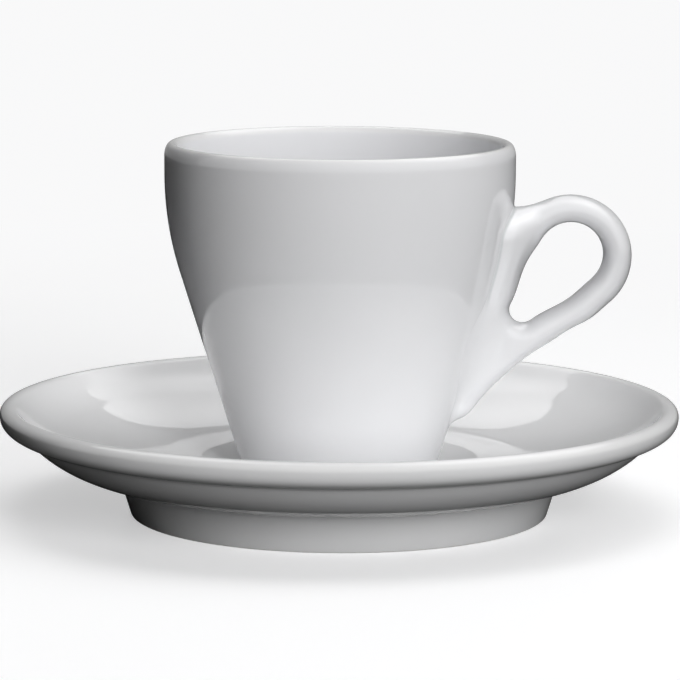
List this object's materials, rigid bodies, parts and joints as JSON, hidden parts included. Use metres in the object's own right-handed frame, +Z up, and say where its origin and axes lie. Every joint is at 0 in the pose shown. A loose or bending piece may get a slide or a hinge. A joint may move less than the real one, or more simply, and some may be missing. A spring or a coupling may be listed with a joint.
{
  "type": "espresso cup and saucer",
  "caption": "Tapered white porcelain espresso cup with a closed loop handle, standing in the well of a round saucer with a rolled rim and a foot ring.",
  "frame": {"origin": "on the table, at the centre of the saucer's foot ring", "axes": "+Z up along the axis of the cup and saucer, +X towards the handle"},
  "size_m": [0.12, 0.12, 0.0659],
  "materials": {
    "white_glaze": "clear gloss glaze over white porcelain, bare on the standing rings"
  },
  "bodies": {
    "saucer": {"saucer": "white_glaze"},
    "cup": {"cup_body": "white_glaze", "cup_handle": "white_glaze"}
  },
  "joints": [
    {"name": "cup_lift", "type": "slide", "parent": "saucer", "child": "cup", "axis": [0, 0, 1], "range_m": [0, 0.1]}
  ]
}
